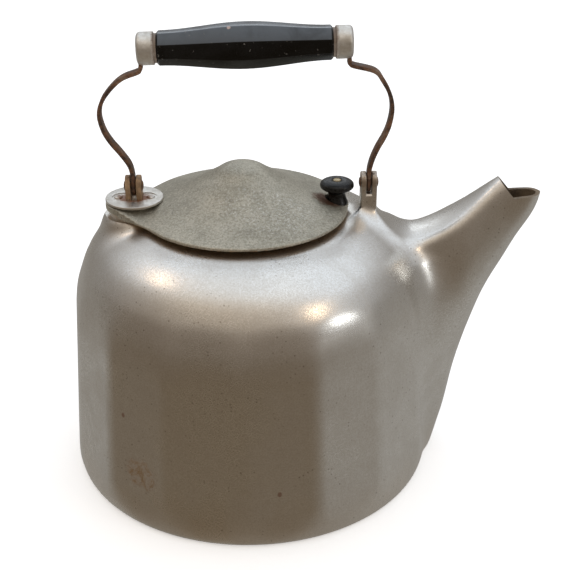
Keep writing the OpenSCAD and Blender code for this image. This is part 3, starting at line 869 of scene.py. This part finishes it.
def rust_finish(name, pieces, dark, brown, metal, bare_share):
    """Rusty steel in its own shades; bare_share is how much steel still shows."""
    material, tree, shader, place = finish_of(name)
    node = wired(tree, "Group")
    node.node_tree = rusted
    tree.links.new(place, node.inputs["Place"])
    colour = mixed(tree, node.outputs["Bloom"], dark, brown)
    bare = times(tree, node.outputs["Bare"], bare_share)
    colour = mixed(tree, bare, colour, metal)
    bump = bumped(tree, node.outputs["Height"], 0.5, 0.0004)
    set_shader(tree, shader, Base_Color=colour, Metallic=eased(tree, bare, 0, 1, 0.35, 0.95),
               Roughness=eased(tree, node.outputs["Bloom"], 0, 1, 0.42, 0.72), Normal=bump)
    for piece in pieces:
        dressed(piece, material)


def bar_section(wide, thick, corner):
    """A ring of points round a flat bar's section, as (across, through)."""
    ring = []
    for sx, sy, start in ((1, 1, 0), (-1, 1, 90), (-1, -1, 180), (1, -1, 270)):
        middle = (sx * (wide - corner), sy * (thick - corner))
        ring += arc(middle, corner, start, start + 90, 3)
    return ring


def bent_strap(name, pin_x, side, bulge):
    """A flat bar with round ends, laid along its S-shaped centre line."""
    top = GRIP_HEIGHT - PIN_HEIGHT + side * FERRULE_END * math.sin(GRIP_TILT)
    end = STRAP_SLOT - side * pin_x
    route = [[0, -5.8], [0, 0], [0, 7], [1.5, 14], [0.36 * bulge, 21.5], [0.68 * bulge, 29],
             [0.9 * bulge, 36.5], [bulge, 46], [0.86 * bulge, 54.5], [0.5 * bulge, 62.6],
             [0.1 * bulge, 68.2], [end + 1.5, 71.8], [end + 0.35, 74.4], [end, 77.4], [end, 80.5],
             [end, DRAWN_TOP], [end, 88.9]]
    line = curve_through(route, 8) * np.array([1, top / DRAWN_TOP])
    along = np.concatenate([[0], np.cumsum(np.linalg.norm(np.diff(line, axis=0), axis=1))])
    length = along[-1]
    half = STRAP_WIDTH / 2
    stops = np.concatenate([half * (1 - np.cos(np.linspace(0.12, math.pi / 2, 7))),
                            np.arange(half + 1.4, length - half - 1, 1.4),
                            length - half * (1 - np.cos(np.linspace(math.pi / 2, 0.12, 7)))])
    rings = []
    for s in stops:
        centre = np.array([np.interp(s, along, line[:, k]) for k in (0, 1)])
        ahead = np.array([np.interp(min(s + 0.5, length), along, line[:, k])
                          - np.interp(max(s - 0.5, 0), along, line[:, k]) for k in (0, 1)])
        ahead /= np.linalg.norm(ahead)
        across = np.array([ahead[1], -ahead[0]])
        inset = max(half - s, half - (length - s), 0)
        wide = max(math.sqrt(max(half * half - inset * inset, 0)), 0.5)
        ring = []
        for a, b in bar_section(wide, STRAP_THICK / 2, min(0.6, wide * 0.6)):
            x, z = centre + across * b
            ring.append((pin_x + side * x, side * a, PIN_HEIGHT + z))
        rings.append(ring)
    strap = lofted_piece(name, rings)
    bored(strap, PIN_RADIUS + 0.05, -6, 6, (pin_x, 0, PIN_HEIGHT), axis="X")
    bored(strap, 2.5, -6, 6, (pin_x + side * end, 0, PIN_HEIGHT + top), axis="X")
    smooth_shaded(strap, 38)
    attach(strap, "bail")
    return strap


strap_rear = bent_strap("strap_rear_bent", PIVOT_X, -1, 17.0)
strap_front = bent_strap("strap_front_bent", LUG_X, 1, 12.4)
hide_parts("bail_strap_rear")
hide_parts("bail_strap_front")
rust_finish("rusty_strap_steel", (strap_rear, strap_front), (0.055, 0.034, 0.024),
            (0.20, 0.095, 0.045), (0.34, 0.27, 0.21), 0.55)


def riveted_line(half, shank, head, edge, dome, tip):
    """The outline of a pin with a domed head beyond each end of its half length."""
    cap = [(head, half)]
    for t in np.linspace(0.1, 1.5, 7):
        cap.append((head * math.cos(t), half + edge + dome * math.sin(t)))
    far_cap = [(r, -h) for r, h in reversed(cap)]
    return [(0, -half - tip)] + far_cap + [(shank, -half), (shank, half)] + cap + [(0, half + tip)]


pins = []
pin_line = riveted_line(4.8, PIN_RADIUS, 3.1, 0.15, 1.05, 1.2)
for name, x in (("bail_pin_rear", PIVOT_X), ("bail_pin_front", LUG_X)):
    pin = turned_piece(name + "_riveted", pin_line, 40, "X", (x, 0, PIN_HEIGHT))
    smooth_shaded(pin, 40)
    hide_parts(name)
    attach(pin, "kettle")
    pins.append(pin)
rust_finish("pin_steel_rusty", pins, (0.09, 0.05, 0.03), (0.26, 0.14, 0.07), (0.5, 0.44, 0.36), 0.7)
rust_finish("ear_steel_stained", (ear,), (0.26, 0.17, 0.10), (0.46, 0.30, 0.17), (0.72, 0.68, 0.60), 1.0)

# ---- The grip, its ferrules and its rod ----
# A black phenolic grip with eight flats, thickest in the middle, between two turned aluminium
# ferrules. A steel rod runs through them all and is riveted over outside the straps.
GRIP_HALF = 50.2
GRIP_END, GRIP_MIDDLE = 18.6, 25.0
CHAMFER = 1.2


def tilted(piece):
    """Lifts a piece drawn along X to the grip's height, a little higher at the front."""
    lift = Matrix.Translation((0, 0, GRIP_HEIGHT * MM)) @ Matrix.Rotation(-GRIP_TILT, 4, "Y")
    piece.data.transform(lift)
    return piece


def eight_sided(x, width):
    """A ring round the grip with its eight corners rounded."""
    corner = 0.9
    ring = []
    for k in range(8):
        middle = 45 * k + 22.5
        reach, bearing = (width / 2 - corner) / math.cos(math.pi / 8), math.radians(middle)
        centre = (reach * math.cos(bearing), reach * math.sin(bearing))
        ring += [(x, a, b) for a, b in arc(centre, corner, middle - 22.5, middle + 22.5, 4)]
    return ring


stations = [(-GRIP_HALF, GRIP_END - 2 * CHAMFER), (-GRIP_HALF + 0.35, GRIP_END - 2 * CHAMFER + 0.9)]
for u in np.linspace(-1, 1, 25):
    belly = (GRIP_MIDDLE - GRIP_END) * math.cos(u * math.pi / 2) ** 2
    stations.append((u * (GRIP_HALF - CHAMFER), GRIP_END + belly))
stations += [(GRIP_HALF - 0.35, GRIP_END - 2 * CHAMFER + 0.9), (GRIP_HALF, GRIP_END - 2 * CHAMFER)]
grip = tilted(lofted_piece("grip_moulded", [eight_sided(x, width) for x, width in stations]))
smooth_shaded(grip, 30)
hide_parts("grip")
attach(grip, "bail")
material, tree, shader, place = finish_of("gloss_phenolic", grip)
haze = noise(tree, place, 55.0, 4, 0.6, 0.4)
grain = noise(tree, place, 900.0, 3, 0.6)
colour = mixed(tree, eased(tree, haze, 0.4, 0.7), (0.001, 0.001, 0.001), (0.004, 0.004, 0.004))
facing_up = axes_of(tree, wired(tree, "TexCoord").outputs["Normal"])[2]
# painted sheen: the upward flats are coloured a hazy bluish grey, as if catching light from above
painted_top_sheen = times(tree, eased(tree, facing_up, 0.4, 0.9), eased(tree, haze, 0.3, 0.6, 0.6, 1.0))
colour = mixed(tree, painted_top_sheen, colour, (0.13, 0.15, 0.175))
chip = blob(tree, place, (-9, -5.6, GRIP_HEIGHT + 11.8), (1.4, 1.3, 1.3), 0.4, 700.0)
colour = mixed(tree, chip, colour, (0.55, 0.42, 0.38))
specks = eased(tree, noise(tree, place, 500.0, 2, 0.5), 0.68, 0.76)
colour = mixed(tree, times(tree, specks, 0.35), colour, (0.25, 0.23, 0.2))
rough = plus(tree, eased(tree, haze, 0.3, 0.7, 0.1, 0.22), times(tree, grain, 0.05))
bump = bumped(tree, grain, 0.05, 0.0003)
set_shader(tree, shader, Base_Color=colour, Roughness=rough, Normal=bump, Specular_IOR_Level=0.35)

ferrules = []
for name, side in (("ferrule_rear", -1), ("ferrule_front", 1)):
    inside, outside = GRIP_HALF + 1.4, FERRULE_END
    line = [(0, 44.2), (6.75, 44.2), (6.75, 50.25), (8.4, 50.25), (8.4, inside), (9.35, inside + 0.35)]
    line += [(9.45, inside + 1.2), (9.45, outside - 2.6)] + arc((7.05, outside - 2.4), 2.4, 0, 90, 9)[1:]
    line += [(0, outside)]
    ferrule = turned_piece(name + "_turned", [(r, side * h) for r, h in line][::side], 72, "X")
    slit = [(-4.25, -12), (4.25, -12), (4.25, 0)] + arc((0, 0), 4.25, 0, 180, 17)[1:]
    slit_tool = rounded_slab("slit", slit, STRAP_THICK + 0.3, 0, place=(side * STRAP_SLOT, 0, 0))
    combine(ferrule, slit_tool, "DIFFERENCE")
    tilted(ferrule)
    smooth_shaded(ferrule, 35)
    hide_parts(name)
    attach(ferrule, "bail")
    ferrules.append(ferrule)
material, tree, shader, place = finish_of("ferrule_aluminium")
masks = aged_masks(tree, place, Tarnish_scale=90.0, Blotch_scale=420.0, Pit_scale=600.0)
colour = mixed(tree, masks["Tarnish"], (0.76, 0.74, 0.70), (0.60, 0.57, 0.52))
from_middle = maths(tree, "ABSOLUTE", axes_of(tree, place)[0])
grime = eased(tree, plus(tree, from_middle, times(tree, masks["Blotch"], 0.0009)),
              0.0520, 0.0542, 1.0, 0.0)
colour = mixed(tree, times(tree, grime, 0.9), colour, (0.12, 0.065, 0.035))
colour = mixed(tree, times(tree, masks["Blotch"], 0.35), colour, (0.45, 0.40, 0.33))
bump = bumped(tree, masks["Height"], 0.4, 0.0004)
set_shader(tree, shader, Base_Color=colour, Roughness=eased(tree, masks["Blotch"], 0, 1, 0.36, 0.5),
           Metallic=eased(tree, grime, 0, 1, 0.9, 0.1), Normal=bump)
for ferrule in ferrules:
    dressed(ferrule, material)

rod_line = riveted_line(FERRULE_END, 2.4, 2.9, 0.05, 0.45, 0.55)
rod = tilted(turned_piece("grip_rod_riveted", rod_line, 40, "X"))
smooth_shaded(rod, 40)
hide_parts("grip_rod")
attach(rod, "bail")
rust_finish("rod_steel_rusty", (rod,), (0.08, 0.05, 0.035), (0.24, 0.13, 0.07), (0.42, 0.36, 0.3), 0.6)

# ---- The floor, the lights and the camera ----
# A pale seamless floor in a plain studio: a broad cool sky overhead, warmer walls, and soft
# lamps to each side. The camera looks slightly down from the front, with the spout to the right.
CAMERA_TURN = math.radians(-1.84)
CAMERA_RISE = math.radians(27.32)
CAMERA_ROLL = math.radians(-0.26)
CAMERA_AWAY = 0.711
LOOK_AT = Vector((0.0222, 0.0, 0.1146))
back = Vector((math.sin(CAMERA_TURN) * math.cos(CAMERA_RISE),
               -math.cos(CAMERA_TURN) * math.cos(CAMERA_RISE), math.sin(CAMERA_RISE)))
camera_data = bpy.data.cameras.new("camera")
camera_data.lens = 70.86
camera = bpy.data.objects.new("camera", camera_data)
bpy.context.scene.collection.objects.link(camera)
camera.matrix_world = (Matrix.Translation(LOOK_AT + back * CAMERA_AWAY)
                       @ back.to_track_quat("Z", "Y").to_matrix().to_4x4()
                       @ Matrix.Rotation(CAMERA_ROLL, 4, "Z"))
bpy.context.scene.camera = camera

floor = rounded_slab("floor", oblong(-6000, -6000, 6000, 6000), 10, 0, "Z", (0, 0, -5.05))
material, tree, shader, place = finish_of("pale_floor", floor)
set_shader(tree, shader, Base_Color=(0.93, 0.93, 0.93), Roughness=0.9,
           Emission_Color=(1.0, 1.0, 1.0), Emission_Strength=0.45)
floor.visible_glossy = False

# The room: brown low in front, brighter to the right and behind, and a cool sky overhead
world = bpy.data.worlds.new("room")
bpy.context.scene.world = world
world.use_nodes = True
tree = world.node_tree
toward = wired(tree, "TexCoord").outputs["Generated"]
upward = eased(tree, axes_of(tree, toward)[2], -1.0, 1.0)
upward.node.interpolation_type = "LINEAR"
ROOM_SCALE = 1.4


def height_ramp(colours):
    """Colours up from straight below to straight above, kept under 1 by a common scale."""
    node = wired(tree, "ValToRGB", {0: upward})
    stops = node.color_ramp.elements
    while len(stops) < len(colours):
        stops.new(0.5)
    for stop, (height, colour) in zip(stops, colours):
        stop.position = height / 2 + 0.5
        stop.color = (*(c / ROOM_SCALE for c in colour), 1)
    return node.outputs[0]


before = height_ramp([(-1.0, (0.28, 0.235, 0.185)), (-0.5, (0.185, 0.145, 0.10)),
                      (-0.3, (0.17, 0.13, 0.09)), (0.0, (0.20, 0.165, 0.13)),
                      (0.2, (0.22, 0.18, 0.145)), (0.5, (0.36, 0.31, 0.26)),
                      (0.78, (0.70, 0.60, 0.49)), (0.93, (0.92, 0.84, 0.74)),
                      (1.0, (0.85, 0.92, 1.0))])
behind = height_ramp([(-1.0, (0.34, 0.325, 0.30)), (-0.55, (0.41, 0.40, 0.38)),
                      (-0.3, (0.36, 0.345, 0.32)), (0.0, (0.29, 0.275, 0.255)),
                      (0.25, (0.32, 0.31, 0.30)), (0.5, (0.6, 0.61, 0.63)),
                      (0.72, (1.0, 1.08, 1.18)), (0.93, (1.0, 1.08, 1.18)),
                      (1.0, (0.85, 0.92, 1.0))])
split = axes_of(tree, toward)
share = eased(tree, plus(tree, split[1], times(tree, split[0], 0.45)), -0.75, 0.35)
room = mixed(tree, share, before, behind)
tree.links.new(room, tree.nodes["Background"].inputs["Color"])
tree.nodes["Background"].inputs["Strength"].default_value = ROOM_SCALE


def soft_lamp(name, turn, rise, away, wide, tall, power, colour):
    """A soft box facing the kettle's middle. Turn 0 is in front of it, and 90 to the right."""
    middle = Vector((0.02, 0.0, 0.13))
    turn, rise = math.radians(turn), math.radians(rise)
    toward = Vector((math.sin(turn) * math.cos(rise), -math.cos(turn) * math.cos(rise), math.sin(rise)))
    lamp = bpy.data.lights.new(name, "AREA")
    lamp.shape, lamp.size, lamp.size_y = "RECTANGLE", wide, tall
    lamp.energy, lamp.color = power, colour
    holder = bpy.data.objects.new(name, lamp)
    bpy.context.scene.collection.objects.link(holder)
    facing = toward.to_track_quat("Z", "Y").to_matrix().to_4x4()
    holder.matrix_world = Matrix.Translation(middle + toward * away) @ facing


soft_lamp("window_right", 60, 16, 1.8, 0.26, 0.24, 1.9, (0.93, 0.97, 1.0))
soft_lamp("lamp_warm_right", 49, 37, 1.8, 0.2, 0.2, 1.0, (1.0, 0.75, 0.5))
soft_lamp("lamp_warm_left", -105, 52, 1.8, 0.4, 0.3, 0.8, (1.0, 0.70, 0.45))
soft_lamp("window_behind", 180, 27, 1.8, 0.9, 0.25, 1.2, (0.85, 0.93, 1.0))
soft_lamp("sky", 20, 85, 2.2, 1.6, 1.2, 0.8, (1.0, 0.92, 0.82))

bpy.context.scene.view_settings.view_transform = "Standard"
